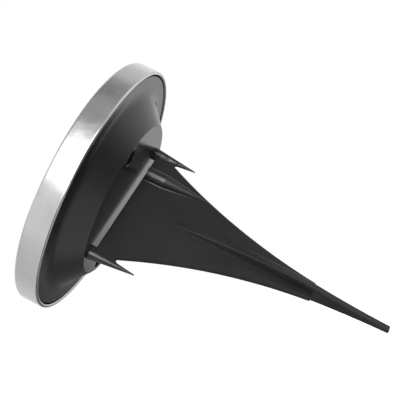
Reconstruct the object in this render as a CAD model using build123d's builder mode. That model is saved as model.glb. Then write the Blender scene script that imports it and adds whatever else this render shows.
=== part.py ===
from build123d import *

import math
import os

# Solar disk light on a garden stake, in millimetres.
# A flat round head plugs onto a moulded stake. The head is a stainless trim ring that holds
# a clear window, a tray with eight lights round a solar panel, and a black base cover.
# +Z is up, the way the light shines. The origin is on the disk's axis, in the plane of the
# base cover's flat plate, where the head meets the stake and the soil. X runs along the
# width of the stake's blade, and the blade's half-round boss faces -Y.

# Overall sizes of the head
disk_diameter = 115.0
ring_height = 10.4
dome_depth = 8.5
plate_diameter = 72.8
dome_foot_diameter = 94.6
floor_recess = 0.7

# Trim ring
ring_sheet = 0.6
bezel_width = 5.5
hem_thickness = 1.5
ring_bend = 1.2

# Clearances
ring_gap = 0.4
hem_gap = 0.65
part_gap = 0.3
lug_gap = 0.1
peg_gap = 0.08
button_gap = 0.2
pin_gap = 0.05
wire_gap = 0.05

# Window and its seal
lens_rim = 2.0
lens_edge_chamfer = 0.4
window_rise = 0.2
lens_seal_width = 3.0
lens_seal_thickness = 0.6

# Tray with the bowls and the panel's pocket
tray_deck = 1.2
skirt_wall = 1.0
skirt_depth = 1.6
led_count = 8
led_circle_diameter = 88.0
bowl_mouth_diameter = 13.0
bowl_throat_diameter = 5.9
tray_wall = 1.0
boss_diameter = 6.0

# Solar panel
panel_side = 54.0
panel_thickness = 1.2
tape_thickness = 0.4
cell_thickness = 0.2
cell_count = 4
cell_length = 50.0
cell_width = 12.2
cell_pitch = 12.8

# Lights and their ring board
led_board_thickness = 1.2
led_board_inner_diameter = 77.0
led_flange_diameter = 5.4
led_flange_height = 0.8
led_dome_diameter = 4.7
led_height = 3.9

# Base cover
cover_wall = 2.0
cover_side_wall = 1.8
dome_foot_fillet = 7.0
plate_edge_fillet = 0.9
cover_seal_thickness = 0.4
lug_count = 6
lug_width = 11.0
lug_height = 1.5
lug_reach = 1.3
rib_count = 8
rib_thickness = 1.2

# Screws that hold the cover to the tray
screw_circle_diameter = 63.4
screw_angles = (-92.7, 42.3, 132.3)
well_diameter = 6.6
well_depth = 5.0
well_wall = 1.5
well_floor = 1.6
screw_head_diameter = 5.2
screw_head_height = 2.0
screw_diameter = 2.5
screw_length = 8.5
screw_hole_diameter = 3.0
cross_slot_length = 3.0
cross_slot_width = 0.7
cross_slot_depth = 1.0

# Battery and its contacts
battery_diameter = 10.5
battery_length = 43.5
battery_tip_diameter = 3.8
battery_tip_length = 1.0
battery_y = 9.0
battery_lift = 0.2
saddle_thickness = 3.0
saddle_spacing = 26.0
contact_sheet = 0.4
contact_width = 8.0
contact_height = 9.0
contact_reach = 3.2

# Control board and what is on it
board_length = 28.0
board_width = 15.0
board_thickness = 1.2
board_y = -14.5
board_lift = 4.0
board_screw_spacing = 23.0
board_screw_y = -13.0
board_post_diameter = 5.0
board_screw_diameter = 1.8
board_screw_head_diameter = 3.6
board_screw_head_height = 1.2
board_screw_length = 4.0

# On/off switch behind the blade
switch_y = 25.0
button_diameter = 6.1
button_flange_diameter = 8.0
button_flange_height = 0.8
button_recess = 0.6
button_travel = 1.0
button_stem_diameter = 3.0
switch_side = 9.0
switch_height = 5.0
switch_lift = 2.4
switch_wall = 1.3

# Leads
wire_diameter = 1.0
wire_bend = 4.0
short_wire_bend = 1.5

# Stake
stake_length = 128.0
blade_thickness = 2.0
blade_gap = 1.4
foot_inner_width = 55.8
prong_spacing = 62.6
prong_diameter = 5.4
prong_length = 20.8
prong_tip_diameter = 0.5
peg_diameter = 4.6
peg_length = 7.0
peg_chamfer = 0.6
notch_depth = 11.2
notch_radius = 0.9
wing_step_depth = 92.0
wing_step_width = 9.4
wing_bow = 3.35
blade_bevel = 0.6
fin_thickness = 3.0
fin_start_depth = 25.6
fin_start_height = 2.8
fin_full_height = 11.7
fin_full_depth = 70.0
fin_step_height = 9.6
fin_tip_height = 1.9
fin_taper_bow = 0.55
fin_bevel = 0.3
boss_x = 17.8
boss_gap = 2.0
boss_radius = 3.7
boss_straight_depth = 11.4
boss_taper_depth = 34.0
boss_tip_radius = 0.2
boss_fillet = 0.8
boss_sink = 0.05

# Heights worked out from the sizes above
ring_radius = disk_diameter / 2
ring_low = dome_depth
ring_top = ring_low + ring_height
ring_inner_radius = ring_radius - ring_sheet
hem_radius = hem_thickness / 2
lens_top = ring_top - ring_sheet
lens_low = lens_top - lens_rim
lens_radius = ring_inner_radius - ring_gap
bezel_radius = ring_radius - bezel_width
tray_top = lens_low - lens_seal_thickness
tray_low = tray_top - tray_deck
tray_radius = lens_radius - 0.1
panel_low = tray_top - cell_thickness - panel_thickness
tape_low = panel_low - tape_thickness
pocket_low = tape_low - tray_wall
pocket_side = panel_side + 2 * part_gap
pocket_outer_side = pocket_side + 2 * tray_wall
cover_wall_top = tray_low - cover_seal_thickness
cover_radius = ring_radius - hem_thickness - hem_gap
cover_inner_radius = cover_radius - cover_side_wall
cover_floor = ring_low + floor_recess
cover_floor_inside = cover_floor + cover_side_wall
plate_radius = plate_diameter / 2
dome_foot_radius = dome_foot_diameter / 2
skirt_radius = cover_inner_radius - part_gap
led_circle_radius = led_circle_diameter / 2
led_board_low = cover_floor_inside
led_board_top = led_board_low + led_board_thickness
led_board_radius = cover_inner_radius - 5 * part_gap
led_start_angle = 180.0 / led_count
screw_circle_radius = screw_circle_diameter / 2
screw_places = [
    (
        screw_circle_radius * math.cos(math.radians(angle)),
        screw_circle_radius * math.sin(math.radians(angle)),
    )
    for angle in screw_angles
]
boss_low = well_depth + well_floor
battery_z = cover_wall + battery_lift + battery_diameter / 2
contact_face_x = (battery_length + battery_tip_length) / 2
board_low = cover_wall + board_lift
board_top = board_low + board_thickness
switch_low = cover_wall + switch_lift
peg_x = prong_spacing / 2
blade_half = blade_thickness / 2
wire_radius = wire_diameter / 2


def on_z(height):
    """A level sketch plane at this height."""
    return Plane.XY.offset(height)


def polar_plane(angle):
    """An upright plane through the axis, with its x direction at this angle."""
    turn = math.radians(angle)
    return Plane(
        origin=(0, 0, 0),
        x_dir=(math.cos(turn), math.sin(turn), 0),
        z_dir=(math.sin(turn), -math.cos(turn), 0),
    )


def insulated_wire(points, bend):
    """One wire along straight runs joined by tangent arcs of this radius."""
    with BuildPart() as wire:
        with BuildLine() as route:
            FilletPolyline(*points, radius=bend)
        with BuildSketch(Plane(origin=route.line @ 0, z_dir=route.line % 0)):
            Circle(wire_radius)
        sweep()
    return wire.part


def across(point):
    """The same point on the other side of x = 0."""
    return (-point[0], *point[1:])


# Trim ring: the wall, the fold over the window and the hemmed rear edge in one section
with BuildPart() as trim_ring:
    with BuildSketch(Plane.XZ) as ring_section:
        with BuildLine():
            Polyline(
                (bezel_radius, ring_top - ring_sheet),
                (bezel_radius, ring_top),
                (ring_radius, ring_top),
                (ring_radius, ring_low + hem_radius),
            )
            ThreePointArc(
                (ring_radius, ring_low + hem_radius),
                (ring_radius - hem_radius, ring_low),
                (ring_radius - hem_thickness, ring_low + hem_radius),
            )
            Polyline(
                (ring_radius - hem_thickness, ring_low + hem_radius),
                (ring_radius - hem_thickness, ring_low + hem_thickness),
                (ring_inner_radius, ring_low + hem_thickness),
                (ring_inner_radius, ring_top - ring_sheet),
                (bezel_radius, ring_top - ring_sheet),
            )
        make_face()
        ring_corners = ring_section.vertices()
        fillet(ring_corners.sort_by_distance((ring_radius, ring_top))[0], ring_bend)
        ring_corners = ring_section.vertices()
        inside_corner = (ring_inner_radius, ring_top - ring_sheet)
        fillet(ring_corners.sort_by_distance(inside_corner)[0], ring_bend - ring_sheet)
    revolve(axis=Axis.Z)
trim_ring.part.label = "trim_ring"

# Window: a rim under the ring's fold, and a raised face that fills the ring's opening
window_radius = bezel_radius - part_gap
window_top = lens_top + window_rise
with BuildPart() as lens:
    with BuildSketch(Plane.XZ):
        with BuildLine():
            Polyline(
                (0, window_top),
                (0, lens_low),
                (lens_radius, lens_low),
                (lens_radius, lens_top - lens_edge_chamfer),
                (lens_radius - lens_edge_chamfer, lens_top),
                (window_radius, lens_top),
                (window_radius, window_top),
                close=True,
            )
        make_face()
    revolve(axis=Axis.Z)
lens.part.label = "lens"

with BuildPart() as lens_seal:
    with BuildSketch(on_z(tray_top)):
        Circle(tray_radius)
        Circle(tray_radius - lens_seal_width, mode=Mode.SUBTRACT)
    extrude(amount=lens_seal_thickness)
lens_seal.part.label = "lens_seal"

# Tray: deck, skirt, pocket for the panel, a bowl for each light and a boss for each screw
bowl_depth = tray_top - led_board_top
bowl_angle = math.degrees(math.atan((bowl_mouth_diameter - bowl_throat_diameter) / 2 / bowl_depth))
with BuildPart() as reflector_tray:
    with BuildSketch(on_z(tray_low)):
        Circle(tray_radius)
    extrude(amount=tray_deck)
    with BuildSketch(on_z(tray_low)):
        Circle(skirt_radius)
        Circle(skirt_radius - skirt_wall, mode=Mode.SUBTRACT)
    extrude(amount=-skirt_depth)
    with BuildSketch(on_z(pocket_low)):
        RectangleRounded(pocket_outer_side, pocket_outer_side, 2 * tray_wall)
    extrude(until=Until.NEXT)
    with BuildSketch(on_z(tray_top)):
        with PolarLocations(led_circle_radius, led_count, led_start_angle):
            Circle(bowl_mouth_diameter / 2 + tray_wall)
    extrude(amount=-bowl_depth, taper=bowl_angle)
    with BuildSketch(on_z(boss_low)):
        with Locations(*screw_places):
            Circle(boss_diameter / 2)
    extrude(amount=tray_low - boss_low)
    with BuildSketch(on_z(tray_top)):
        with PolarLocations(led_circle_radius, led_count, led_start_angle):
            Circle(bowl_mouth_diameter / 2)
    extrude(amount=-bowl_depth, taper=bowl_angle, mode=Mode.SUBTRACT)
    with BuildSketch(on_z(tray_top)):
        RectangleRounded(pocket_side, pocket_side, 2 * part_gap)
    extrude(amount=-(tray_top - tape_low), mode=Mode.SUBTRACT)
    with BuildSketch(on_z(boss_low)):
        with Locations(*screw_places):
            Circle(screw_diameter / 2 + pin_gap)
    extrude(amount=screw_length - well_floor + part_gap, mode=Mode.SUBTRACT)
    with BuildSketch(on_z(pocket_low)):
        with Locations((0, board_y)):
            SlotOverall(4 * boss_diameter / 3, boss_diameter / 2)
    extrude(amount=tray_wall, mode=Mode.SUBTRACT)
reflector_tray.part.label = "reflector_tray"

# Solar panel: mounting tape with a slot for the leads, backing, and the cut cells
with BuildPart() as panel_tape:
    with BuildSketch(on_z(tape_low)):
        Rectangle(panel_side, panel_side)
        with Locations((0, board_y)):
            SlotOverall(4 * boss_diameter / 3, boss_diameter / 2, mode=Mode.SUBTRACT)
    extrude(amount=tape_thickness)
panel_tape.part.label = "panel_tape"

with BuildPart() as panel_board:
    with BuildSketch(on_z(panel_low)):
        Rectangle(panel_side, panel_side)
    extrude(amount=panel_thickness)
panel_board.part.label = "panel_board"

with BuildPart() as solar_cells:
    with BuildSketch(on_z(panel_low + panel_thickness)):
        with GridLocations(cell_pitch, 0, cell_count, 1):
            Rectangle(cell_width, cell_length)
    extrude(amount=cell_thickness)
solar_cells.part.label = "solar_cells"

# Ring board and its lights
with BuildPart() as led_board:
    with BuildSketch(on_z(led_board_low)):
        Circle(led_board_radius)
        Circle(led_board_inner_diameter / 2, mode=Mode.SUBTRACT)
    extrude(amount=led_board_thickness)
led_board.part.label = "led_board"

with BuildPart() as leds:
    with BuildSketch(on_z(led_board_top)):
        with PolarLocations(led_circle_radius, led_count, led_start_angle):
            Circle(led_flange_diameter / 2)
    extrude(amount=led_flange_height)
    with BuildSketch(on_z(led_board_top + led_flange_height)):
        with PolarLocations(led_circle_radius, led_count, led_start_angle):
            Circle(led_dome_diameter / 2)
    extrude(amount=led_height - led_flange_height)
    led_tops = leds.edges().group_by(Axis.Z)[-1]
    fillet(led_tops, 0.42 * led_dome_diameter)
leds.part.label = "leds"

# Base cover: floor, flared dome, flat plate and upright side wall as one turned shell,
# then the wells, sockets, cradles and snap lugs
dome_lean = (dome_foot_radius - plate_radius) / cover_floor
inner_plate_radius = plate_radius - 0.6 * cover_wall
inner_foot_radius = inner_plate_radius + dome_lean * (cover_floor_inside - cover_wall)
saddle_top = battery_z - 0.2 * battery_diameter
contact_outer_x = contact_face_x + contact_reach
rib_inner_radius = led_board_inner_diameter / 2
with BuildPart() as base_cover:
    with BuildSketch(Plane.XZ) as cover_section:
        with BuildLine():
            Polyline(
                (0, 0),
                (plate_radius, 0),
                (dome_foot_radius, cover_floor),
                (cover_radius, cover_floor),
                (cover_radius, cover_wall_top),
                (cover_inner_radius, cover_wall_top),
                (cover_inner_radius, cover_floor_inside),
                (inner_foot_radius, cover_floor_inside),
                (inner_plate_radius, cover_wall),
                (0, cover_wall),
                close=True,
            )
        make_face()
        cover_corners = cover_section.vertices()
        fillet(cover_corners.sort_by_distance((dome_foot_radius, cover_floor))[0], dome_foot_fillet)
        cover_corners = cover_section.vertices()
        fillet(cover_corners.sort_by_distance((plate_radius, 0))[0], plate_edge_fillet)
    revolve(axis=Axis.Z)

    # Wells for the screws, sockets for the stake's pegs and posts for the control board
    with BuildSketch(Plane.XY):
        with Locations(*screw_places):
            Circle(well_diameter / 2 + well_wall)
    extrude(amount=boss_low)
    with BuildSketch(Plane.XY):
        with Locations((-peg_x, 0), (peg_x, 0)):
            Circle(peg_diameter / 2 + peg_gap + cover_side_wall)
    extrude(amount=peg_length + part_gap + cover_side_wall)
    with BuildSketch(on_z(cover_wall)):
        with Locations((-board_screw_spacing / 2, board_screw_y), (board_screw_spacing / 2, board_screw_y)):
            Circle(board_post_diameter / 2)
    extrude(amount=board_lift)

    # Saddles under the battery and a backing post behind each contact
    with BuildSketch(on_z(cover_wall)):
        with Locations((-saddle_spacing / 2, battery_y), (saddle_spacing / 2, battery_y)):
            Rectangle(saddle_thickness, battery_diameter + 2 * tray_wall)
    extrude(amount=saddle_top - cover_wall)
    with BuildSketch(Plane.YZ.offset(-saddle_spacing)):
        with Locations((battery_y, battery_z)):
            Circle(battery_diameter / 2 + lug_gap)
    extrude(amount=2 * saddle_spacing, mode=Mode.SUBTRACT)
    with BuildSketch(on_z(cover_wall)):
        with Locations((contact_face_x + contact_sheet + tray_wall / 2, battery_y)):
            Rectangle(tray_wall, contact_width)
        with Locations((-contact_outer_x - contact_sheet - tray_wall / 2, battery_y)):
            Rectangle(tray_wall, contact_width)
    extrude(amount=contact_height)

    # Square cradle for the switch, open at the top
    with BuildSketch(on_z(cover_wall)):
        with Locations((0, switch_y)):
            RectangleRounded(switch_side + 2 * switch_wall, switch_side + 2 * switch_wall, switch_wall)
            Circle(button_flange_diameter / 2 + part_gap, mode=Mode.SUBTRACT)
    extrude(amount=switch_lift)
    with BuildSketch(on_z(switch_low)):
        with Locations((0, switch_y)):
            RectangleRounded(switch_side + 2 * switch_wall, switch_side + 2 * switch_wall, switch_wall)
            Rectangle(switch_side + 2 * lug_gap, switch_side + 2 * lug_gap, mode=Mode.SUBTRACT)
    extrude(amount=switch_height - switch_wall)

    # Ribs that carry the inner edge of the ring board
    for index in range(rib_count):
        with BuildSketch(polar_plane(index * 360.0 / rib_count)):
            with BuildLine():
                Polyline(
                    (rib_inner_radius, led_board_low),
                    (inner_foot_radius + tray_wall, led_board_low),
                    (inner_foot_radius + tray_wall, led_board_low - tray_wall / 2),
                    (inner_foot_radius, led_board_low - tray_wall / 2),
                    (inner_plate_radius + tray_wall / 2, cover_wall),
                    (rib_inner_radius, cover_wall + dome_foot_fillet / 2),
                    close=True,
                )
            make_face()
        extrude(amount=rib_thickness / 2, both=True)

    # Snap lugs that hook over the ring's hem
    with BuildSketch(on_z(ring_low + hem_thickness + lug_gap)):
        with PolarLocations(cover_radius, lug_count):
            Rectangle(2 * lug_reach, lug_width)
        Circle(cover_radius + lug_reach, mode=Mode.INTERSECT)
        Circle(cover_radius - lug_reach, mode=Mode.SUBTRACT)
    extrude(amount=lug_height)

    # The holes
    with BuildSketch(Plane.XY):
        with Locations(*screw_places):
            Circle(well_diameter / 2)
    extrude(amount=well_depth, mode=Mode.SUBTRACT)
    with BuildSketch(on_z(well_depth)):
        with Locations(*screw_places):
            Circle(screw_hole_diameter / 2)
    extrude(amount=well_floor, mode=Mode.SUBTRACT)
    with BuildSketch(Plane.XY):
        with Locations((-peg_x, 0), (peg_x, 0)):
            Circle(peg_diameter / 2 + peg_gap)
    extrude(amount=peg_length + part_gap, mode=Mode.SUBTRACT)
    with BuildSketch(Plane.XY):
        with Locations((0, switch_y)):
            Circle(button_diameter / 2 + button_gap)
    extrude(amount=cover_wall, mode=Mode.SUBTRACT)
    with BuildSketch(on_z(board_low)):
        with Locations((-board_screw_spacing / 2, board_screw_y), (board_screw_spacing / 2, board_screw_y)):
            Circle(board_screw_diameter / 2 + pin_gap)
    extrude(amount=-board_screw_length, mode=Mode.SUBTRACT)
    well_mouths = base_cover.edges().filter_by(GeomType.CIRCLE).group_by(Axis.Z)[0]
    well_mouths = well_mouths.filter_by(lambda edge: abs(edge.radius - well_diameter / 2) < 0.01)
    chamfer(well_mouths, 0.3)
base_cover.part.label = "base_cover"

with BuildPart() as cover_seal:
    with BuildSketch(on_z(cover_wall_top)):
        Circle(cover_radius)
        Circle(cover_inner_radius, mode=Mode.SUBTRACT)
    extrude(amount=cover_seal_thickness)
cover_seal.part.label = "cover_seal"

# Screws up through the wells, with a cross slot in each head
with BuildPart() as cover_screws:
    with BuildSketch(on_z(well_depth)):
        with Locations(*screw_places):
            Circle(screw_head_diameter / 2)
    extrude(amount=-screw_head_height)
    head_rims = cover_screws.edges().group_by(Axis.Z)[0]
    chamfer(head_rims, 0.3 * screw_head_height)
    with BuildSketch(on_z(well_depth)):
        with Locations(*screw_places):
            Circle(screw_diameter / 2)
    extrude(amount=screw_length)
    with BuildSketch(on_z(well_depth - screw_head_height)):
        with Locations(*screw_places):
            Rectangle(cross_slot_length, cross_slot_width)
            Rectangle(cross_slot_width, cross_slot_length)
    extrude(amount=cross_slot_depth, mode=Mode.SUBTRACT)
cover_screws.part.label = "cover_screws"

# Battery and its two contacts
with BuildPart() as battery:
    with BuildSketch(Plane.YZ.offset(-contact_face_x)):
        with Locations((battery_y, battery_z)):
            Circle(battery_diameter / 2)
    extrude(amount=battery_length)
    can_rims = battery.edges().filter_by(GeomType.CIRCLE)
    chamfer(can_rims, tray_wall / 2)
    with BuildSketch(Plane.YZ.offset(contact_face_x - battery_tip_length)):
        with Locations((battery_y, battery_z)):
            Circle(battery_tip_diameter / 2)
    extrude(amount=battery_tip_length)
battery.part.label = "battery"

with BuildPart() as contact_plus:
    with BuildSketch(Plane.YZ.offset(contact_face_x)):
        with Locations((battery_y, cover_wall + contact_height / 2)):
            RectangleRounded(contact_width, contact_height, tray_wall)
    extrude(amount=contact_sheet)
contact_plus.part.label = "contact_plus"

# A bent leaf: up the backing post, over, and down in a bow that presses on the battery
contact_top = cover_wall + contact_height
with BuildPart() as contact_minus:
    with BuildSketch(Plane.XZ.offset(-battery_y)):
        with BuildLine() as leaf_line:
            FilletPolyline(
                (-contact_outer_x - contact_sheet / 2, cover_wall + contact_sheet),
                (-contact_outer_x - contact_sheet / 2, contact_top - contact_sheet / 2),
                (-contact_face_x - 0.8 * contact_sheet, battery_z),
                (-contact_outer_x + 3 * contact_sheet, cover_wall + contact_sheet),
                radius=2 * contact_sheet,
            )
            offset(amount=contact_sheet / 2, kind=Kind.ARC)
        make_face()
    extrude(amount=contact_width / 2, both=True)
contact_minus.part.label = "contact_minus"

# Control board with its two screws, chip, choke and capacitor
with BuildPart() as control_board:
    with BuildSketch(on_z(board_low)):
        with Locations((0, board_y)):
            RectangleRounded(board_length, board_width, tray_wall)
        with Locations((-board_screw_spacing / 2, board_screw_y), (board_screw_spacing / 2, board_screw_y)):
            Circle(board_screw_diameter / 2 + pin_gap, mode=Mode.SUBTRACT)
    extrude(amount=board_thickness)
control_board.part.label = "control_board"

with BuildPart() as board_screws:
    with BuildSketch(on_z(board_top)):
        with Locations((-board_screw_spacing / 2, board_screw_y), (board_screw_spacing / 2, board_screw_y)):
            Circle(board_screw_head_diameter / 2)
    extrude(amount=board_screw_head_height)
    small_rims = board_screws.edges().group_by(Axis.Z)[-1]
    chamfer(small_rims, 0.3 * board_screw_head_height)
    with BuildSketch(on_z(board_top)):
        with Locations((-board_screw_spacing / 2, board_screw_y), (board_screw_spacing / 2, board_screw_y)):
            Circle(board_screw_diameter / 2)
    extrude(amount=-board_screw_length)
board_screws.part.label = "board_screws"

chip_size = (4.4, 1.8, 3.2)
chip_place = (4.0, board_y - 4.6)
chip_leg = 0.5
chip_leg_pitch = 1.1
with BuildPart() as driver_chip:
    with BuildSketch(on_z(board_top + 2 * chip_leg)):
        with Locations(chip_place):
            Rectangle(chip_size[0], chip_size[1])
    extrude(amount=chip_size[2])
    chip_edges = driver_chip.edges().group_by(Axis.Z)[-1]
    chamfer(chip_edges, chip_leg / 2)
    with BuildSketch(on_z(board_top)):
        with Locations(chip_place):
            with GridLocations(chip_leg_pitch, 0, 4, 1):
                Rectangle(chip_leg, chip_leg)
    extrude(amount=2 * chip_leg)
driver_chip.part.label = "driver_chip"

choke_place = (5.6, board_y + 2.3)
choke_radius = 2.5
choke_waist = 1.7
choke_height = 4.4
choke_flange = 0.9
with BuildPart() as choke:
    with BuildSketch(on_z(board_top)):
        with Locations(choke_place):
            Circle(choke_radius)
    extrude(amount=choke_flange)
    with BuildSketch(on_z(board_top + choke_flange)):
        with Locations(choke_place):
            Circle(choke_waist)
    extrude(amount=choke_height - 2 * choke_flange)
    with BuildSketch(on_z(board_top + choke_height - choke_flange)):
        with Locations(choke_place):
            Circle(choke_radius)
    extrude(amount=choke_flange)
choke.part.label = "choke"

can_place = (-6.5, board_y - 4.0)
can_radius = 2.0
can_height = 5.0
can_groove = 0.25
with BuildPart() as capacitor:
    with BuildSketch(on_z(board_top)):
        with Locations(can_place):
            Circle(can_radius)
    extrude(amount=can_height)
    can_top = capacitor.edges().group_by(Axis.Z)[-1]
    chamfer(can_top, can_groove)
    with BuildSketch(on_z(board_top + 3 * can_groove)):
        with Locations(can_place):
            Circle(can_radius + can_groove)
            Circle(can_radius - can_groove, mode=Mode.SUBTRACT)
    extrude(amount=2 * can_groove, mode=Mode.SUBTRACT)
capacitor.part.label = "capacitor"

# Push switch: a square body on the cradle's ledge, and a button through the plate
button_flange_low = cover_wall + lug_gap
stem_bore_depth = switch_height - 2 * tray_wall
stem_top = switch_low + stem_bore_depth - button_travel - part_gap
with BuildPart() as switch_housing:
    with BuildSketch(on_z(switch_low)):
        with Locations((0, switch_y)):
            RectangleRounded(switch_side, switch_side, tray_wall / 2)
    extrude(amount=switch_height)
    with BuildSketch(on_z(switch_low)):
        with Locations((0, switch_y)):
            Circle(button_stem_diameter / 2 + button_gap)
    extrude(amount=stem_bore_depth, mode=Mode.SUBTRACT)
switch_housing.part.label = "switch_housing"

with BuildPart() as switch_button:
    with BuildSketch(on_z(button_recess)):
        with Locations((0, switch_y)):
            Circle(button_diameter / 2)
    extrude(amount=button_flange_low - button_recess)
    button_face = switch_button.edges().group_by(Axis.Z)[0]
    fillet(button_face, button_recess)
    with BuildSketch(on_z(button_flange_low)):
        with Locations((0, switch_y)):
            Circle(button_flange_diameter / 2)
    extrude(amount=button_flange_height)
    with BuildSketch(on_z(button_flange_low + button_flange_height)):
        with Locations((0, switch_y)):
            Circle(button_stem_diameter / 2)
    extrude(amount=stem_top - button_flange_low - button_flange_height)
switch_button.part.label = "switch_button"

# Leads: two wires each, all but the battery's laid out as mirror images
on_board = board_top + wire_radius + wire_gap
over_sockets = peg_length + part_gap + cover_side_wall + wire_radius + button_gap
under_ring_board = led_board_low - wire_radius - wire_gap
plus_lead_x = contact_face_x + contact_sheet / 2
minus_lead_x = -contact_outer_x - contact_sheet / 2
contact_side_y = battery_y - contact_width / 2 - wire_gap
plus_route = [
    (plus_lead_x, contact_side_y, on_board),
    (plus_lead_x, -10.0, on_board),
    (9.0, -10.0, on_board),
]
minus_route = [
    (minus_lead_x, contact_side_y, on_board),
    (minus_lead_x + wire_bend, -10.0, on_board),
    (-9.0, -10.0, on_board),
]
switch_route = [
    (3.0, switch_y - 1.0, switch_low + switch_height + wire_radius + wire_gap),
    (14.0, 18.5, over_sockets),
    (30.0, 13.5, over_sockets),
    (30.0, -8.0, over_sockets),
    (13.2, -16.4, on_board),
]
led_route = [
    (11.0, -19.0, on_board),
    (20.0, -27.3, on_board),
    (26.0, -33.0, under_ring_board),
]
panel_route = [
    (1.4, board_y, panel_low - wire_gap),
    (1.4, board_y, pocket_low - 0.6),
    (2.4, board_y + 5.4, board_top + 3.2),
    (2.4, board_y + 5.4, board_top + wire_gap),
]

with BuildPart() as battery_leads:
    add(insulated_wire(plus_route, wire_bend))
    add(insulated_wire(minus_route, wire_bend))
battery_leads.part.label = "battery_leads"

with BuildPart() as switch_leads:
    add(insulated_wire(switch_route, wire_bend))
    add(insulated_wire(map(across, switch_route), wire_bend))
switch_leads.part.label = "switch_leads"

with BuildPart() as led_leads:
    add(insulated_wire(led_route, wire_bend))
    add(insulated_wire(map(across, led_route), wire_bend))
led_leads.part.label = "led_leads"

with BuildPart() as panel_leads:
    add(insulated_wire(panel_route, short_wire_bend))
    add(insulated_wire(map(across, panel_route), short_wire_bend))
panel_leads.part.label = "panel_leads"

# Stake: the blade with its wings, a cross fin, two round prongs with pegs, and a boss
wing_root_x = peg_x - prong_diameter / 2 - notch_radius / 2
step_x = wing_step_width / 2
wing_mid = ((wing_root_x + step_x) / 2, (notch_depth + wing_step_depth) / 2)
wing_run = (step_x - wing_root_x, wing_step_depth - notch_depth)
wing_span = math.hypot(*wing_run)
wing_mid_x = wing_mid[0] - wing_bow * wing_run[1] / wing_span
wing_mid_depth = wing_mid[1] + wing_bow * wing_run[0] / wing_span
notch_low = notch_depth + notch_radius
notch_x = wing_root_x + notch_radius
fin_side = fin_thickness / 2


def boss_side(radius, hollow):
    """One side of the boss's section: where its fillet leaves the blade, turns and meets the round."""
    reach = math.sqrt((radius + hollow) ** 2 - hollow**2)
    share = radius / (radius + hollow)
    lean = math.hypot(reach, radius + 2 * hollow)
    waist_x = reach - hollow * reach / lean
    waist_y = hollow * (radius + 2 * hollow) / lean - hollow
    return (reach, 0), (waist_x, waist_y), (share * reach, -share * hollow)


with BuildPart() as stake:
    # Blade, symmetrical about the axis
    with BuildSketch(Plane.XZ):
        with BuildLine():
            Polyline(
                (0, -blade_gap),
                (foot_inner_width / 2, -blade_gap),
                (foot_inner_width / 2, 0),
                (peg_x, 0),
                (peg_x, -notch_low),
                (notch_x + notch_radius, -notch_low),
            )
            ThreePointArc(
                (notch_x + notch_radius, -notch_low),
                (notch_x, -notch_depth),
                (notch_x - notch_radius, -notch_low),
            )
            ThreePointArc(
                (notch_x - notch_radius, -notch_low),
                (wing_mid_x, -wing_mid_depth),
                (step_x, -wing_step_depth),
            )
            Polyline(
                (step_x, -wing_step_depth),
                (0, -wing_step_depth),
                (0, -blade_gap),
            )
        make_face()
        mirror(about=Plane.YZ)
    extrude(amount=blade_half, both=True)
    wing_and_notch_edges = stake.edges().filter_by(GeomType.CIRCLE)
    chamfer(wing_and_notch_edges, blade_bevel)

    # Fin, which crosses the blade and runs on to the tip
    with BuildSketch(Plane.YZ):
        with BuildLine():
            Line((0, -fin_start_depth), (fin_start_height / 2, -fin_start_depth))
            ThreePointArc(
                (fin_start_height / 2, -fin_start_depth),
                (fin_full_height / 2, -fin_full_depth),
                (fin_step_height / 2, -wing_step_depth),
            )
            ThreePointArc(
                (fin_step_height / 2, -wing_step_depth),
                (
                    (fin_step_height + fin_tip_height) / 4 - fin_taper_bow,
                    -(wing_step_depth + stake_length) / 2,
                ),
                (fin_tip_height / 2, -stake_length),
            )
            Line((fin_tip_height / 2, -stake_length), (0, -stake_length))
            Line((0, -stake_length), (0, -fin_start_depth))
        make_face()
        mirror(about=Plane.YZ)
    extrude(amount=fin_side, both=True)
    crest_edges = stake.edges().filter_by(GeomType.CIRCLE).filter_by(
        lambda edge: abs(abs(edge.center().X) - fin_side) < 0.01 and edge.length > fin_start_depth
    )
    chamfer(crest_edges, fin_bevel)

    # Prongs, each a round spike with a peg on top
    for side in (-1, 1):
        with BuildSketch(Plane.XZ):
            with BuildLine():
                Polyline(
                    (side * peg_x, peg_length),
                    (side * (peg_x + peg_diameter / 2 - peg_chamfer), peg_length),
                    (side * (peg_x + peg_diameter / 2), peg_length - peg_chamfer),
                    (side * (peg_x + peg_diameter / 2), 0),
                    (side * (peg_x + prong_diameter / 2), 0),
                    (side * (peg_x + prong_tip_diameter / 2), -prong_length),
                    (side * peg_x, -prong_length),
                    close=True,
                )
            make_face()
        revolve(axis=Axis((side * peg_x, 0, 0), (0, 0, 1)))

    # Half-round boss on the front of the blade, straight and then tapered, with a small
    # hollow fillet along each side
    straight_start = (boss_gap, boss_radius, boss_fillet)
    straight_end = (boss_straight_depth, boss_radius, boss_fillet)
    taper_end = (boss_taper_depth, boss_tip_radius, boss_tip_radius)
    for run in ((straight_start, straight_end), (straight_end, taper_end)):
        for depth, radius, hollow in run:
            root, waist, shoulder = boss_side(radius, hollow)
            with BuildSketch(Plane(origin=(boss_x, boss_sink - blade_half, -depth), z_dir=(0, 0, 1))):
                with BuildLine():
                    Polyline(across(root), (-root[0], blade_half), (root[0], blade_half), root)
                    ThreePointArc(root, waist, shoulder)
                    ThreePointArc(shoulder, (0, -radius), across(shoulder))
                    ThreePointArc(across(shoulder), across(waist), across(root))
                make_face()
        loft(ruled=True)
stake.part.label = "stake"

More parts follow.
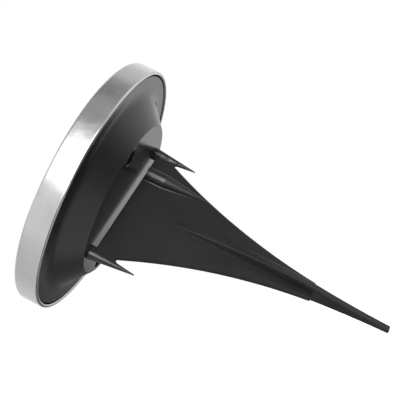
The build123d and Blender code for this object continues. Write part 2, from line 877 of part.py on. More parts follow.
os.makedirs("parts", exist_ok=True)
for piece in (
    trim_ring,
    lens,
    lens_seal,
    reflector_tray,
    panel_tape,
    panel_board,
    solar_cells,
    led_board,
    leds,
    base_cover,
    cover_seal,
    cover_screws,
    battery,
    contact_plus,
    contact_minus,
    control_board,
    board_screws,
    driver_chip,
    choke,
    capacitor,
    switch_housing,
    switch_button,
    battery_leads,
    switch_leads,
    led_leads,
    panel_leads,
    stake,
):
    export_step(piece.part, f"parts/{piece.part.label}.step")
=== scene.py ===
"""Solar disk light on a garden stake: its finishes, its small inner fittings and the studio.

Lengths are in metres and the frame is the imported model's: +Z along the disk's axis, the
way the light shines, X along the width of the stake's blade, and the origin in the plane of
the base cover's flat plate.
"""

import math

import bpy
import numpy as np
from mathutils import Matrix, Vector


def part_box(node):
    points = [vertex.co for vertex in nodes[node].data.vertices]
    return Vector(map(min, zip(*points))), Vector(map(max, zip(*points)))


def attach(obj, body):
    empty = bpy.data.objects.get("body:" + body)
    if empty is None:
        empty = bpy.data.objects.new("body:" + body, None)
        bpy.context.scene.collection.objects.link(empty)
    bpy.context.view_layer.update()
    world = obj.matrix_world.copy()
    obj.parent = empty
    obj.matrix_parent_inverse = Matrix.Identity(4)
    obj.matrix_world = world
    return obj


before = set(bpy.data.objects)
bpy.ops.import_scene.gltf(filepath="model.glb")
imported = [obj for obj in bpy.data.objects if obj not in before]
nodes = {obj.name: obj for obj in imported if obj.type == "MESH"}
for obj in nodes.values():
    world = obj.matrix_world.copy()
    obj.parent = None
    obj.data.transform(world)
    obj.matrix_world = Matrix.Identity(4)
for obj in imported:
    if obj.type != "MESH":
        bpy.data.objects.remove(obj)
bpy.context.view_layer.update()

MM = 0.001
MICRON = 1.0e-6
ZERO_TO_ONE = (0.0, 1.0)
WHITE = (1.0, 1.0, 1.0)

# The ring of lights
LIGHT_COUNT = 8
LIGHT_START = 180.0 / LIGHT_COUNT
LIGHT_CIRCLE = 44.0 * MM

# The solar cells and the tinned ribbons on them
CELL_COUNT = 4
CELL_PITCH = 12.8 * MM
CELL_RIBBON_OFFSET = 3.1 * MM
CELL_RIBBON_WIDTH = 1.3 * MM
CELL_RIBBON_THICKNESS = 0.14 * MM
CELL_FINGER_HALF_PITCH = 0.9 * MM
BUS_RIBBON_WIDTH = 1.5 * MM
BUS_RIBBON_THICKNESS = 0.2 * MM
BUS_RIBBON_LIFT = 0.11 * MM
BUS_RIBBON_DISTANCE = 1.0 * MM
BUS_RIBBON_INSET = 0.6 * MM

# The cup, the posts and the wire inside each light, in millimetres. Heights are above the
# ring board.
CUP_FLOOR = 1.30
CUP_DISH = 0.50
CUP_MOUTH = 0.62
CUP_OUTSIDE = (
    (0.70, 1.84),
    (0.78, 1.80),
    (0.74, 1.50),
    (0.62, 1.18),
    (0.50, 0.98),
    (0.30, 0.92),
    (0.02, 0.92),
)
POST_HEIGHTS = (0.05, 0.95)
POST_HALF = 0.24
POST_FLATTENING = 0.9
POST_SWELL = 0.10
POST_SWELL_START = 0.6
POST_SWELL_SPAN = 0.35
POST_LEAN = 0.18
POST_LEAN_END = 0.9
THIN_POST_HEIGHTS = (0.05, 2.15)
THIN_POST_HALF = 0.16
THIN_POST_X = 1.28
THIN_HEAD_HEIGHT = 1.95
THIN_HEAD_SPAN = 0.28
THIN_HEAD_GROWTH_X = 0.20
THIN_HEAD_GROWTH_Y = 0.05
THIN_HEAD_SHIFT = 0.22
PHOSPHOR_RADIUS = 0.60
PHOSPHOR_RIM = 1.74
PHOSPHOR_CROWN = 0.16
PHOSPHOR_UNDERSIDE = 1.34
PHOSPHOR_DISH = 0.47
WIRE_RADIUS = 0.035
WIRE_REACH = 1.10
WIRE_START = 1.84
WIRE_BOW = 1.1
WIRE_CLIMB = 0.25

# The room's greys by compass angle, each stop (degrees, grey). Compass angles are measured at
# the disk from +X and heights from the level. A grey of 1 is white. The stops were set so
# that the steel and the black mouldings mirror about what they do in the photograph, and
# they make an uneven room with dark stretches, not a plain studio.
RAISED_TONES = (
    (-180.0, 0.88),
    (-155.0, 0.80),
    (-135.0, 0.60),
    (-92.0, 0.45),
    (-75.0, 0.30),
    (-60.0, 0.42),
    (-40.0, 0.18),
    (-28.0, 0.24),
    (-15.0, 0.70),
    (5.0, 0.74),
    (22.0, 1.00),
    (60.0, 1.00),
    (100.0, 0.78),
    (143.0, 0.62),
    (165.0, 0.72),
    (180.0, 0.90),
)
LEVEL_TONES = (
    (-180.0, 1.00),
    (-130.0, 0.80),
    (-60.0, 0.34),
    (-30.0, 0.60),
    (0.0, 0.90),
    (50.0, 0.90),
    (62.0, 0.90),
    (72.0, 0.15),
    (100.0, 0.25),
    (130.0, 0.70),
    (180.0, 1.00),
)
WALL_BREAK = (8.0, 15.0)
FRONT_Y = (0.10, -0.25)
LOW_HEIGHTS = (-6.0, 8.0)
LOW_LEVEL = 0.12

# The paper floor, and the pools of light that gloss sees on it, set in the same way
FLOOR_HEIGHT = -0.30
FLOOR_SIZE = 6.0
PAPER_WHITE = (0.80, 0.80, 0.80)
PAPER_DIM = 0.15
PAPER_LIFT = 0.55
POOL_EDGE = 0.25
POOL_SLOPE = 0.29
POOL_FADE = (-0.16, 0.14)
POOL_REACH = (0.60, 1.30)
POOL_LEVELS = (0.83, 0.66)
SIDE_POOL = (-0.17, 0.08)
SIDE_POOL_WIDTH = (0.15, 0.35)
SIDE_POOL_FADE = (0.3, 1.4)
SIDE_POOL_LEVEL = 0.50

# The camera's place and turn come from the disk's two rims, the plate and the blade's edges
# in the photograph, solved together.
CAMERA_PLACE = Vector((-0.14136, -0.22037, -0.05263))
CAMERA_FORWARD = Vector((0.58404, 0.80724, 0.08525))
CAMERA_UP = Vector((0.70649, -0.55723, 0.43630))
CAMERA_LENS = 53.17
CAMERA_SENSOR = 36.0
CAMERA_NEAR = 0.01


class NodeBench:
    """A node tree and the few kinds of node that the finishes and the studio are made of."""

    def __init__(self, tree):
        self.tree = tree

    def node(self, kind, **settings):
        """A new node with these settings."""
        made = self.tree.nodes.new(kind)
        for key, value in settings.items():
            setattr(made, key, value)
        return made

    def feed(self, value, socket):
        """Links a socket, or sets a plain value."""
        if isinstance(value, bpy.types.NodeSocket):
            self.tree.links.new(value, socket)
        else:
            socket.default_value = value

    def maths(self, operation, *values):
        """One Math node."""
        made = self.node("ShaderNodeMath", operation=operation)
        for socket, value in zip(made.inputs, values):
            self.feed(value, socket)
        return made.outputs[0]

    def length(self, x, y):
        """The distance of (x, y) from the origin."""
        return self.maths("SQRT", self.maths("MULTIPLY_ADD", x, x, self.maths("MULTIPLY", y, y)))

    def split(self, vector):
        """The x, y and z of a vector."""
        made = self.node("ShaderNodeSeparateXYZ")
        self.feed(vector, made.inputs[0])
        return made.outputs["X"], made.outputs["Y"], made.outputs["Z"]

    def join(self, x, y, z):
        """A vector from three numbers."""
        made = self.node("ShaderNodeCombineXYZ")
        for socket, value in zip(made.inputs, (x, y, z)):
            self.feed(value, socket)
        return made.outputs[0]

    def noise(self, vector, scale, detail=3.0, rough=0.55):
        """Soft noise between 0 and 1."""
        made = self.node("ShaderNodeTexNoise")
        self.feed(vector, made.inputs["Vector"])
        made.inputs["Scale"].default_value = scale
        made.inputs["Detail"].default_value = detail
        made.inputs["Roughness"].default_value = rough
        return made.outputs["Fac"]

    def spread(self, value, given, wanted, smooth=False):
        """A value carried from one range to another, held at the ends."""
        made = self.node("ShaderNodeMapRange")
        if smooth:
            made.interpolation_type = "SMOOTHSTEP"
        for socket, number in zip(made.inputs, (value, *given, *wanted)):
            self.feed(number, socket)
        return made.outputs[0]

    def tones(self, value, stops):
        """A grey for a value, eased between stops of (value, grey) in rising order."""
        made = self.node("ShaderNodeValToRGB")
        made.color_ramp.interpolation = "EASE"
        first, last = stops[0][0], stops[-1][0]
        self.feed(self.spread(value, (first, last), ZERO_TO_ONE), made.inputs["Fac"])
        marks = made.color_ramp.elements
        marks[0].color = (*[stops[0][1]] * 3, 1.0)
        marks[1].color = (*[stops[-1][1]] * 3, 1.0)
        for at, grey in stops[1:-1]:
            marks.new((at - first) / (last - first)).color = (grey, grey, grey, 1.0)
        return made.outputs["Color"]

    def blend(self, share, first, second):
        """A colour between two others."""
        made = self.node("ShaderNodeMix", data_type="RGBA")
        self.feed(share, made.inputs["Factor"])
        for name, value in (("A", first), ("B", second)):
            socket = [s for s in made.inputs if s.name == name and s.type == "RGBA"][0]
            self.feed((*value, 1.0) if isinstance(value, tuple) else value, socket)
        return [s for s in made.outputs if s.type == "RGBA"][0]

    def ray(self, kind):
        """1 for a ray of this kind, 0 for any other."""
        return self.node("ShaderNodeLightPath").outputs[kind]

    def seen_straight(self):
        """1 for a ray from the camera or through glass, 0 for any other."""
        return self.maths("MAXIMUM", self.ray("Is Camera Ray"), self.ray("Is Transmission Ray"))

    def glow(self, strength):
        """White emission."""
        made = self.node("ShaderNodeEmission")
        self.feed(strength, made.inputs["Strength"])
        return made.outputs[0]

    def clear(self, share=1.0):
        """A see-through shader that lets this share of the light pass."""
        made = self.node("ShaderNodeBsdfTransparent")
        made.inputs["Color"].default_value = (share, share, share, 1.0)
        return made.outputs[0]

    def swap(self, share, first, second):
        """The first shader, given over to the second by this share."""
        made = self.node("ShaderNodeMixShader")
        for socket, value in zip(made.inputs, (share, first, second)):
            self.feed(value, socket)
        return made.outputs[0]


class Finish(NodeBench):
    """One material: its node tree, its Principled shader and its place coordinates."""

    def __init__(self, name, colour, roughness, metallic=0.0, ior=1.5):
        self.material = bpy.data.materials.new(name)
        self.material.use_nodes = True
        super().__init__(self.material.node_tree)
        self.shader = self.tree.nodes["Principled BSDF"]
        self.shader.inputs["Base Color"].default_value = (*colour, 1.0)
        self.shader.inputs["Roughness"].default_value = roughness
        self.shader.inputs["Metallic"].default_value = metallic
        self.shader.inputs["IOR"].default_value = ior
        self.place = self.node("ShaderNodeTexCoord").outputs["Object"]

    def cylinder_place(self):
        """The angle round the disk's axis, the distance from it and the height."""
        x, y, z = self.split(self.place)
        return self.maths("ARCTAN2", y, x), self.length(x, y), z

    def colour(self, value):
        """Sets the base colour."""
        self.feed(value, self.shader.inputs["Base Color"])

    def roughness(self, value):
        """Sets the roughness."""
        self.feed(value, self.shader.inputs["Roughness"])

    def surface(self, shader):
        """Gives the material this shader."""
        self.feed(shader, self.tree.nodes["Material Output"].inputs["Surface"])

    def relief(self, height, depth, strength=1.0):
        """Bumps from a height between 0 and 1, this deep in metres, over any bumps before."""
        made = self.node("ShaderNodeBump")
        made.inputs["Strength"].default_value = strength
        made.inputs["Distance"].default_value = depth
        self.feed(height, made.inputs["Height"])
        if self.shader.inputs["Normal"].is_linked:
            self.feed(self.shader.inputs["Normal"].links[0].from_socket, made.inputs["Normal"])
        self.feed(made.outputs[0], self.shader.inputs["Normal"])

    def let_lamps_through(self, share):
        """Shadow rays pass, so that what lies behind the clear piece is lit."""
        self.surface(self.swap(self.ray("Is Shadow Ray"), self.shader.outputs[0], self.clear(share)))


def shaded(colour, share):
    """A colour made darker or paler by a share, up to white."""
    return tuple(min(1.0, part * share) for part in colour)


def rolled_steel():
    """Bright stainless sheet: fine lines round the disk, soft clouds in the polish."""
    lines_along = 1.5
    lines_across = 5200.0
    steel = Finish("rolled_steel", (0.60, 0.60, 0.595), 0.17, metallic=1.0)
    angle, radius, height = steel.cylinder_place()
    stretched = steel.join(
        steel.maths("MULTIPLY", angle, lines_along),
        steel.maths("MULTIPLY", radius, lines_across),
        steel.maths("MULTIPLY", height, lines_across),
    )
    lines = steel.noise(stretched, scale=1.0, detail=2.0)
    clouds = steel.noise(steel.place, scale=60.0, detail=4.0)
    haze = steel.noise(steel.place, scale=420.0, detail=3.0)
    cloud_share = steel.spread(clouds, (0.35, 0.65), ZERO_TO_ONE)
    steel.colour(steel.blend(cloud_share, (0.62, 0.62, 0.615), (0.69, 0.69, 0.685)))
    cloud_gloss = steel.spread(clouds, (0.3, 0.7), (0.19, 0.28))
    haze_gloss = steel.maths("MULTIPLY", steel.spread(haze, (0.3, 0.7), ZERO_TO_ONE), 0.05)
    steel.roughness(steel.maths("ADD", cloud_gloss, haze_gloss))
    steel.relief(lines, depth=1.2 * MICRON)
    steel.relief(clouds, depth=60.0 * MICRON, strength=0.5)
    return steel.material


def moulded_black(name, colour, gloss, grain_depth):
    """Satin black plastic: mould grain, faint flow clouds and a little dust in the gloss.

    gloss is the roughness between its lowest and highest clouds."""
    plastic = Finish(name, colour, gloss[0], ior=1.49)
    flow = plastic.noise(plastic.place, scale=45.0, detail=3.0)
    grain = plastic.noise(plastic.place, scale=5200.0, detail=2.0)
    dust = plastic.noise(plastic.place, scale=600.0, detail=5.0, rough=0.7)
    dusty = plastic.spread(dust, (0.60, 0.85), ZERO_TO_ONE)
    dust_colour = tuple(part * 1.4 + 0.003 for part in colour)
    flow_share = plastic.spread(flow, (0.3, 0.7), ZERO_TO_ONE)
    clean = plastic.blend(flow_share, shaded(colour, 0.85), shaded(colour, 1.15))
    plastic.colour(plastic.blend(plastic.maths("MULTIPLY", dusty, 0.4), clean, dust_colour))
    flow_gloss = plastic.spread(flow, (0.3, 0.7), gloss)
    plastic.roughness(plastic.maths("MULTIPLY_ADD", dusty, 0.04, flow_gloss))
    plastic.relief(grain, grain_depth)
    return plastic.material


def clear_window():
    """Clear hard plastic that lamps shine through, with faint wiping haze."""
    window = Finish("clear_window", (0.985, 0.99, 0.99), 0.02, ior=1.52)
    window.shader.inputs["Transmission Weight"].default_value = 1.0
    haze = window.noise(window.place, scale=70.0, detail=4.0)
    window.roughness(window.spread(haze, (0.4, 0.75), (0.005, 0.035)))
    window.let_lamps_through(0.93)
    return window.material


def clear_epoxy():
    """Water-clear epoxy of the light's dome."""
    epoxy = Finish("clear_epoxy", (0.96, 0.96, 0.94), 0.03, ior=1.5)
    epoxy.shader.inputs["Transmission Weight"].default_value = 1.0
    swirl = epoxy.noise(epoxy.place, scale=500.0, detail=3.0)
    epoxy.roughness(epoxy.spread(swirl, (0.4, 0.8), (0.02, 0.09)))
    epoxy.let_lamps_through(0.9)
    return epoxy.material


def moulded_white():
    """Bright white plastic with a soft mould grain."""
    white = Finish("moulded_white", (0.78, 0.78, 0.765), 0.32)
    flow = white.noise(white.place, scale=50.0, detail=3.0)
    grain = white.noise(white.place, scale=4200.0, detail=2.0)
    white.colour(white.blend(flow, (0.75, 0.75, 0.73), (0.81, 0.81, 0.80)))
    white.roughness(white.spread(flow, (0.3, 0.7), (0.26, 0.38)))
    white.relief(grain, depth=3.0 * MICRON)
    return white.material


def silicon_cell():
    """Blue-black silicon with thin silver fingers across each cell and crystal clouds."""
    cell = Finish("silicon_cell", (0.012, 0.020, 0.055), 0.16)
    _, y, _ = cell.split(cell.place)
    crystal = cell.node("ShaderNodeTexVoronoi")
    crystal.inputs["Scale"].default_value = 260.0
    cell.feed(cell.place, crystal.inputs["Vector"])
    flake = cell.split(crystal.outputs["Color"])[0]
    silicon = cell.blend(flake, (0.008, 0.014, 0.042), (0.020, 0.034, 0.090))
    from_finger = cell.maths("PINGPONG", y, CELL_FINGER_HALF_PITCH)
    share = cell.spread(from_finger, (0.055 * MM, 0.085 * MM), (1.0, 0.0))
    cell.colour(cell.blend(share, silicon, (0.55, 0.56, 0.58)))
    cell.roughness(cell.spread(share, ZERO_TO_ONE, (0.14, 0.38)))
    return cell.material


def solder_mask(name, dark, pale):
    """Board lacquer with the soft edges of copper tracks under it."""
    board = Finish(name, dark, 0.35)
    tracks = board.node("ShaderNodeTexBrick")
    tracks.inputs["Scale"].default_value = 160.0
    tracks.inputs["Mortar Size"].default_value = 0.06
    board.feed(board.place, tracks.inputs["Vector"])
    fibre = board.noise(board.place, scale=1500.0, detail=3.0)
    fibre_part = board.maths("MULTIPLY", fibre, 0.4)
    share = board.maths("MULTIPLY_ADD", tracks.outputs["Fac"], 0.6, fibre_part)
    board.colour(board.blend(share, dark, pale))
    board.relief(tracks.outputs["Fac"], depth=20.0 * MICRON)
    return board.material


def plated_steel(name, colour, gloss=(0.16, 0.30)):
    """Bright zinc or nickel plate with fine pits."""
    plate = Finish(name, colour, gloss[0], metallic=1.0)
    clouds = plate.noise(plate.place, scale=700.0, detail=4.0)
    plate.colour(plate.blend(clouds, shaded(colour, 0.86), colour))
    plate.roughness(plate.spread(clouds, (0.3, 0.7), gloss))
    plate.relief(plate.noise(plate.place, scale=6000.0, detail=2.0), depth=1.5 * MICRON)
    return plate.material


def soft_piece(name, colour, gloss, scale, depth):
    """A plain-coloured piece with an uneven surface, such as rubber, sleeve, ferrite or epoxy."""
    piece = Finish(name, colour, gloss[0])
    clouds = piece.noise(piece.place, scale=scale, detail=4.0)
    piece.colour(piece.blend(clouds, shaded(colour, 0.75), shaded(colour, 1.2)))
    piece.roughness(piece.spread(clouds, (0.3, 0.7), gloss))
    piece.relief(piece.noise(piece.place, scale=scale * 4.0, detail=2.0), depth)
    return piece.material


def wire_sleeve():
    """Wire insulation: red on the +X side of the head and black on the other."""
    sleeve = Finish("wire_sleeve", (0.40, 0.02, 0.02), 0.38)
    x = sleeve.split(sleeve.place)[0]
    side = sleeve.maths("GREATER_THAN", x, 0.0)
    clouds = sleeve.noise(sleeve.place, scale=900.0, detail=3.0)
    sleeve.colour(sleeve.blend(side, (0.018, 0.018, 0.018), (0.42, 0.022, 0.020)))
    sleeve.roughness(sleeve.spread(clouds, (0.3, 0.7), (0.32, 0.46)))
    sleeve.relief(clouds, depth=4.0 * MICRON)
    return sleeve.material


def skin(name, grids, material, closed=False):
    """A piece of the head made of closed tubes. Each grid holds rows of points along a tube
    and columns round it. The columns join in a ring; the last row joins the first where closed
    is set, and otherwise the first and last rows are filled in. Faces are turned outward by
    the sign of the enclosed volume."""
    points = []
    faces = []
    smooth = []
    start = 0
    for grid in grids:
        rows, columns, _ = grid.shape
        row = np.arange(rows if closed else rows - 1)[:, None]
        column = np.arange(columns)[None, :]
        after = (column + 1) % columns
        below = (row + 1) % rows
        corners = (
            row * columns + column,
            row * columns + after,
            below * columns + after,
            below * columns + column,
        )
        quads = np.stack([np.broadcast_to(corner, (row.size, columns)) for corner in corners], -1)
        quads = quads.reshape(-1, 4)
        flat = grid.reshape(-1, 3)
        a, b, c, d = ((flat - flat.mean(axis=0))[quads[:, k]] for k in range(4))
        volume = np.einsum("ij,ij", a, np.cross(b, c)) + np.einsum("ij,ij", a, np.cross(c, d))
        ends = []
        if not closed:
            ends = [np.arange(columns)[::-1], (rows - 1) * columns + np.arange(columns)]
        if volume < 0:
            quads = quads[:, ::-1]
            ends = [end[::-1] for end in ends]
        points.append(flat)
        faces.extend((quads + start).tolist())
        faces.extend((end + start).tolist() for end in ends)
        smooth.extend([True] * len(quads) + [False] * len(ends))
        start += rows * columns
    mesh = bpy.data.meshes.new(name)
    mesh.from_pydata(np.concatenate(points).tolist(), [], faces)
    mesh.polygons.foreach_set("use_smooth", smooth)
    mesh.materials.append(material)
    piece = bpy.data.objects.new(name, mesh)
    bpy.context.collection.objects.link(piece)
    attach(piece, "head")
    return piece


def rounded(columns, power=5.0):
    """Cosine and sine round a squared-off circle: each is raised to 2/power with its sign kept."""
    turns = np.linspace(0.0, 2.0 * np.pi, columns, endpoint=False)
    cosine, sine = np.cos(turns), np.sin(turns)
    return (
        np.sign(cosine) * np.abs(cosine) ** (2.0 / power),
        np.sign(sine) * np.abs(sine) ** (2.0 / power),
    )


def ribbon(line, width, thickness, across):
    """A flat strip along a line of points: at every point a squared-off ellipse, this wide
    along the unit vector across and this thick along +Z, drawn in to a seventh at both ends
    by the factor (1 - |2t - 1|^24)^0.5, where t runs from 0 to 1 along the line."""
    share = np.linspace(0.0, 1.0, len(line))
    pull = np.sqrt(np.clip(1.0 - np.abs(2.0 * share - 1.0) ** 24, 0.02, 1.0))[:, None, None]
    wide, tall = rounded(20)
    sideways = wide[:, None] * np.asarray(across) * width / 2
    upright = tall[:, None] * np.array([0.0, 0.0, thickness / 2])
    return line[:, None, :] + pull * (sideways + upright)[None, :, :]


def turned(profile, columns=36):
    """A closed profile of (distance, height) pairs carried round +Z: rows go round, columns
    follow the profile."""
    turns = np.linspace(0.0, 2.0 * np.pi, columns, endpoint=False)[:, None]
    distance, height = np.asarray(profile).T
    return np.stack([distance * np.cos(turns), distance * np.sin(turns), height + 0.0 * turns], -1)


def at_each_light(grid):
    """Copies of a grid drawn in millimetres about the origin: stood on the ring board, moved
    out to the lights' circle with its +X side outward, and turned to each light in turn."""
    board_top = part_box("leds")[0][2]
    turns = np.radians(LIGHT_START + 360.0 / LIGHT_COUNT * np.arange(LIGHT_COUNT))
    x, y, z = np.moveaxis(grid * MM + np.array([LIGHT_CIRCLE, 0.0, board_top]), -1, 0)
    return [
        np.stack([x * np.cos(turn) - y * np.sin(turn), x * np.sin(turn) + y * np.cos(turn), z], -1)
        for turn in turns
    ]


def cell_ribbons(material):
    """Two tinned ribbons along each cell and one bus ribbon along each end of the panel.

    A cell's ribbon lies on the cell at y between its ends and drops to the panel at the bus
    end: z(y) = panel + (cell - panel) * smoothstep((end of the drop - y) / length of the drop).
    """
    start_inset = 0.8 * MM
    drop_end = 0.75 * MM
    drop_length = 0.7 * MM
    (_, _, panel_top), (_, half_length, cell_top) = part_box("solar_cells")
    bus_y = half_length + BUS_RIBBON_DISTANCE
    strips = []
    run = np.linspace(start_inset - half_length, bus_y, 90)
    drop = np.clip((half_length + drop_end - run) / drop_length, 0.0, 1.0)
    step = (cell_top - panel_top) * drop * drop * (3.0 - 2.0 * drop)
    height = panel_top + step + CELL_RIBBON_THICKNESS / 2
    for cell in range(CELL_COUNT):
        middle = (cell - (CELL_COUNT - 1) / 2) * CELL_PITCH
        way = 1.0 if cell % 2 == 0 else -1.0
        for side in (-1.0, 1.0):
            x = np.full_like(run, middle + side * CELL_RIBBON_OFFSET)
            line = np.stack([x, way * run, height], -1)
            strips.append(ribbon(line, CELL_RIBBON_WIDTH, CELL_RIBBON_THICKNESS, (1.0, 0.0, 0.0)))
    reach = CELL_COUNT * CELL_PITCH / 2 - BUS_RIBBON_INSET
    run = np.linspace(-reach, reach, 120)
    height = np.full_like(run, panel_top + BUS_RIBBON_LIFT)
    for way in (-1.0, 1.0):
        line = np.stack([run, np.full_like(run, way * bus_y), height], -1)
        strips.append(ribbon(line, BUS_RIBBON_WIDTH, BUS_RIBBON_THICKNESS, (0.0, 1.0, 0.0)))
    piece = skin("cell_ribbons", strips, material)


def light_cups(material):
    """In each clear dome a cup on its post and a second, thinner post with a flat head.

    The cup is a turned profile: its hollow is z = floor + dish * (r / mouth)^2, and outside a
    rolled lip narrows to a flat foot. A post is a tube of squared-off rounds. The cup's post
    swells near the cup and leans from its foot, both by a square of the height; the thin post
    widens to its head by a bell curve."""
    hollow = np.linspace(0.02, CUP_MOUTH, 12)
    inside = np.stack([hollow, CUP_FLOOR + CUP_DISH * (hollow / CUP_MOUTH) ** 2], -1)
    cup = turned(np.concatenate([inside, np.array(CUP_OUTSIDE)]))
    piece = skin("light_cups", at_each_light(cup), material, closed=True)

    wide, tall = rounded(20)
    height = np.linspace(*POST_HEIGHTS, 16)
    swell = np.clip((height - POST_SWELL_START) / POST_SWELL_SPAN, 0.0, 1.0)
    half = POST_HALF + POST_SWELL * swell**2
    lean = POST_LEAN * (1.0 - np.clip(height / POST_LEAN_END, 0.0, 1.0) ** 2)
    post = np.stack(
        [
            half[:, None] * wide - lean[:, None],
            POST_FLATTENING * half[:, None] * tall,
            height[:, None] + 0.0 * wide,
        ],
        -1,
    )
    height = np.linspace(*THIN_POST_HEIGHTS, 30)
    head = np.exp(-(((height - THIN_HEAD_HEIGHT) / THIN_HEAD_SPAN) ** 2))
    half_x = THIN_POST_HALF + THIN_HEAD_GROWTH_X * head
    half_y = THIN_POST_HALF + THIN_HEAD_GROWTH_Y * head
    middle = THIN_POST_X - THIN_HEAD_SHIFT * head
    thin = np.stack(
        [
            half_x[:, None] * wide + middle[:, None],
            half_y[:, None] * tall,
            height[:, None] + 0.0 * wide,
        ],
        -1,
    )
    posts = skin("light_posts", at_each_light(post) + at_each_light(thin), material)


def light_phosphor(material):
    """The yellow blob that fills each cup: a turned cap z = rim + crown * (1 - (r / radius)^2)
    over an underside that follows the cup's hollow a little above it."""
    out = np.linspace(0.02, PHOSPHOR_RADIUS, 12)
    top = np.stack([out, PHOSPHOR_RIM + PHOSPHOR_CROWN * (1.0 - (out / PHOSPHOR_RADIUS) ** 2)], -1)
    back = out[::-1]
    under = np.stack([back, PHOSPHOR_UNDERSIDE + PHOSPHOR_DISH * (back / CUP_MOUTH) ** 2], -1)
    blob = turned(np.concatenate([top, under]))
    skin("light_phosphor", at_each_light(blob), material, closed=True)


def light_wires(material):
    """One fine gold wire in each dome, an arch from the cup's middle to the thin post's head:
    x = reach * t, z = start + bow * t * (1 - t) + climb * t, with its rounds leaned by the
    angle whose tangent is 1 - 2t + climb."""
    t = np.linspace(0.0, 1.0, 28)[:, None]
    turns = np.linspace(0.0, 2.0 * np.pi, 8, endpoint=False)
    lean = np.arctan(1.0 - 2.0 * t + WIRE_CLIMB)
    rise = WIRE_START + WIRE_BOW * t * (1.0 - t) + WIRE_CLIMB * t
    arch = np.stack(
        [
            WIRE_REACH * t - WIRE_RADIUS * np.sin(lean) * np.cos(turns),
            WIRE_RADIUS * np.sin(turns) + 0.0 * t,
            rise + WIRE_RADIUS * np.cos(lean) * np.cos(turns),
        ],
        -1,
    )
    skin("light_wires", at_each_light(arch), material)


def studio_world():
    """White to the camera and through glass, and a room of uneven greys for every other ray.

    Metal mirrors the greys and not the white. The room's grey comes from the compass angle, by
    one set of stops near the level and by another above it, and the camera's side is darker
    below the level.
    """
    world = bpy.data.worlds.new("studio")
    bpy.context.scene.world = world
    world.use_nodes = True
    world.node_tree.nodes.clear()
    sky = NodeBench(world.node_tree)
    x, y, z = sky.split(sky.node("ShaderNodeTexCoord").outputs["Generated"])
    compass = sky.maths("DEGREES", sky.maths("ARCTAN2", y, x))
    height = sky.maths("DEGREES", sky.maths("ARCSINE", z))
    raised = sky.spread(height, WALL_BREAK, ZERO_TO_ONE, smooth=True)
    wall = sky.blend(raised, sky.tones(compass, LEVEL_TONES), sky.tones(compass, RAISED_TONES))
    front = sky.spread(y, FRONT_Y, ZERO_TO_ONE, smooth=True)
    low = sky.spread(height, LOW_HEIGHTS, (LOW_LEVEL, 1.0), smooth=True)
    shade = sky.maths("MULTIPLY_ADD", front, low, sky.maths("SUBTRACT", 1.0, front))
    room = sky.maths("MULTIPLY", wall, shade)
    back = sky.node("ShaderNodeBackground")
    back.inputs["Color"].default_value = (*WHITE, 1.0)
    sky.feed(sky.maths("MAXIMUM", room, sky.seen_straight()), back.inputs["Strength"])
    sky.feed(back.outputs[0], sky.node("ShaderNodeOutputWorld").inputs["Surface"])


def pool_tone(paper):
    """The floor's grey as gloss sees it: dim paper with two pools of light.

    The wide pool to the right begins where x = edge + slope * y and falls off with the
    distance from the object. The small one to the left is an ellipse."""
    x, y, _ = paper.split(paper.place)
    from_edge = paper.maths("SUBTRACT", x, POOL_EDGE)
    past_edge = paper.maths("SUBTRACT", from_edge, paper.maths("MULTIPLY", y, POOL_SLOPE))
    right_pool = paper.maths(
        "MULTIPLY",
        paper.spread(past_edge, POOL_FADE, ZERO_TO_ONE, smooth=True),
        paper.spread(paper.length(x, y), POOL_REACH, POOL_LEVELS, smooth=True),
    )
    across = paper.maths("DIVIDE", paper.maths("SUBTRACT", x, SIDE_POOL[0]), SIDE_POOL_WIDTH[0])
    along = paper.maths("DIVIDE", paper.maths("SUBTRACT", y, SIDE_POOL[1]), SIDE_POOL_WIDTH[1])
    off_middle = paper.length(across, along)
    left_pool = paper.spread(off_middle, SIDE_POOL_FADE, (SIDE_POOL_LEVEL, 0.0), smooth=True)
    lit = paper.maths("ADD", PAPER_DIM, paper.maths("ADD", right_pool, left_pool))
    return paper.maths("MINIMUM", lit, 1.0)


def paper_floor():
    """A level sheet of white paper under the object.

    The camera and glass see it lifted to white, and it keeps the object's faint shadow. Gloss
    sees the greys of pool_tone in its place, which are given off and not lit by the lamps. A
    camera below the sheet looks through it.
    """
    half = FLOOR_SIZE / 2
    corners = [(x, y, FLOOR_HEIGHT) for x, y in ((-half, -half), (half, -half), (half, half), (-half, half))]
    mesh = bpy.data.meshes.new("floor")
    mesh.from_pydata(corners, [], [(0, 1, 2, 3)])
    floor = bpy.data.objects.new("floor", mesh)
    bpy.context.collection.objects.link(floor)
    paper = Finish("floor_paper", PAPER_WHITE, 0.9)
    lifted = paper.node("ShaderNodeAddShader")
    paper.feed(paper.shader.outputs[0], lifted.inputs[0])
    lift = paper.glow(paper.maths("MULTIPLY", paper.seen_straight(), PAPER_LIFT))
    paper.feed(lift, lifted.inputs[1])
    sheet = paper.swap(paper.ray("Is Glossy Ray"), lifted.outputs[0], paper.glow(pool_tone(paper)))
    underside = paper.node("ShaderNodeNewGeometry").outputs["Backfacing"]
    camera_below = paper.maths("MULTIPLY", underside, paper.ray("Is Camera Ray"))
    paper.surface(paper.swap(camera_below, sheet, paper.clear()))
    mesh.materials.append(paper.material)


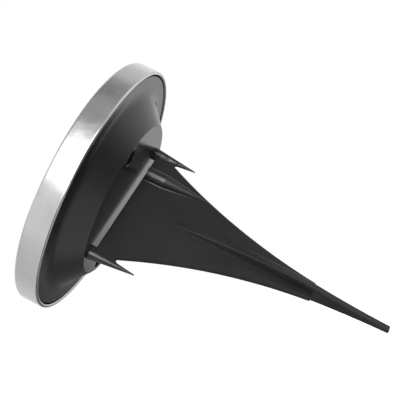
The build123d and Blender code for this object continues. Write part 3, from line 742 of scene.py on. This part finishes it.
def soft_lamp(name, compass, height, distance, width, tall, level):
    """A rectangular lamp aimed at the disk; level is its face's brightness against white."""
    lamp = bpy.data.lights.new(name, "AREA")
    lamp.shape = "RECTANGLE"
    lamp.size = width
    lamp.size_y = tall
    lamp.energy = level * math.pi * width * tall
    holder = bpy.data.objects.new(name, lamp)
    bpy.context.collection.objects.link(holder)
    turn, rise = math.radians(compass), math.radians(height)
    out = Vector((math.cos(turn) * math.cos(rise), math.sin(turn) * math.cos(rise), math.sin(rise)))
    side = Vector((-math.sin(turn), math.cos(turn), 0.0))
    up = out.cross(side)
    facing = Matrix((side, up, out)).transposed().to_4x4()
    holder.matrix_world = Matrix.Translation(out * distance) @ facing
    holder.visible_camera = False
    holder.visible_transmission = False


def photo_camera():
    """A camera where the photograph was taken from."""
    camera = bpy.data.objects.new("camera", bpy.data.cameras.new("camera"))
    bpy.context.collection.objects.link(camera)
    camera.data.sensor_width = CAMERA_SENSOR
    camera.data.lens = CAMERA_LENS
    camera.data.clip_start = CAMERA_NEAR
    right = CAMERA_FORWARD.cross(CAMERA_UP).normalized()
    up = right.cross(CAMERA_FORWARD).normalized()
    turn = Matrix((right, up, -CAMERA_FORWARD.normalized())).transposed().to_4x4()
    camera.matrix_world = Matrix.Translation(CAMERA_PLACE) @ turn
    return camera


steel = rolled_steel()
window = clear_window()
epoxy = clear_epoxy()
white = moulded_white()
cell = silicon_cell()
cover_black = moulded_black("cover_black", (0.012, 0.012, 0.0124), (0.18, 0.24), 0.7 * MICRON)
stake_black = moulded_black("stake_black", (0.012, 0.012, 0.0124), (0.27, 0.34), 1.6 * MICRON)
seal_rubber = soft_piece("seal_rubber", (0.03, 0.03, 0.032), (0.55, 0.75), 1500.0, 10.0 * MICRON)
tape = soft_piece("mounting_tape", (0.03, 0.03, 0.03), (0.75, 0.95), 1500.0, 30.0 * MICRON)
black_steel = plated_steel("black_steel", (0.05, 0.05, 0.052), (0.34, 0.50))
phosphor = soft_piece("phosphor", (0.80, 0.62, 0.07), (0.40, 0.55), 2500.0, 4.0 * MICRON)
gold_wire = plated_steel("gold_wire", (0.85, 0.62, 0.26), (0.14, 0.24))
mask_green = solder_mask("mask_green", (0.012, 0.085, 0.030), (0.030, 0.150, 0.055))
mask_white = solder_mask("mask_white", (0.74, 0.74, 0.72), (0.82, 0.82, 0.80))
zinc = plated_steel("zinc_plate", (0.66, 0.66, 0.67))
nickel = plated_steel("nickel_plate", (0.60, 0.585, 0.54))
drawn_can = plated_steel("drawn_can", (0.70, 0.70, 0.71), (0.22, 0.36))
battery_sleeve = soft_piece("battery_sleeve", (0.04, 0.21, 0.09), (0.22, 0.34), 160.0, 4.0 * MICRON)
chip_epoxy = soft_piece("chip_epoxy", (0.022, 0.022, 0.022), (0.55, 0.72), 2400.0, 6.0 * MICRON)
ferrite = soft_piece("ferrite", (0.055, 0.045, 0.040), (0.45, 0.65), 1800.0, 12.0 * MICRON)
nylon = soft_piece("switch_nylon", (0.020, 0.020, 0.021), (0.42, 0.55), 1200.0, 4.0 * MICRON)
rubber = soft_piece("button_rubber", (0.016, 0.016, 0.0165), (0.50, 0.66), 1500.0, 6.0 * MICRON)
sleeve = wire_sleeve()

FINISHES = {
    "trim_ring": steel,
    "lens": window,
    "lens_seal": seal_rubber,
    "reflector_tray": white,
    "panel_tape": tape,
    "panel_board": white,
    "solar_cells": cell,
    "led_board": mask_white,
    "leds": epoxy,
    "base_cover": cover_black,
    "cover_seal": seal_rubber,
    "cover_screws": black_steel,
    "battery": battery_sleeve,
    "contact_plus": nickel,
    "contact_minus": nickel,
    "control_board": mask_green,
    "board_screws": zinc,
    "driver_chip": chip_epoxy,
    "choke": ferrite,
    "capacitor": drawn_can,
    "switch_housing": nylon,
    "switch_button": rubber,
    "battery_leads": sleeve,
    "switch_leads": sleeve,
    "led_leads": sleeve,
    "panel_leads": sleeve,
    "stake": stake_black,
}
for name, material in FINISHES.items():
    slots = nodes[name].data.materials
    if len(slots):
        slots[0] = material
    else:
        slots.append(material)

cell_ribbons(nickel)
light_cups(nickel)
light_phosphor(phosphor)
light_wires(gold_wire)

studio_world()
paper_floor()
# The strip's face is 14 times as bright as white, for the narrow highlights.
soft_lamp("key", compass=-116.0, height=21.5, distance=1.1, width=0.72, tall=0.46, level=1.0)
soft_lamp("strip", compass=-112.0, height=3.0, distance=1.1, width=1.05, tall=0.20, level=14.0)
soft_lamp("top", compass=20.0, height=80.0, distance=1.2, width=0.9, tall=0.9, level=0.8)

bpy.context.scene.camera = photo_camera()
bpy.context.scene.view_settings.view_transform = "Standard"
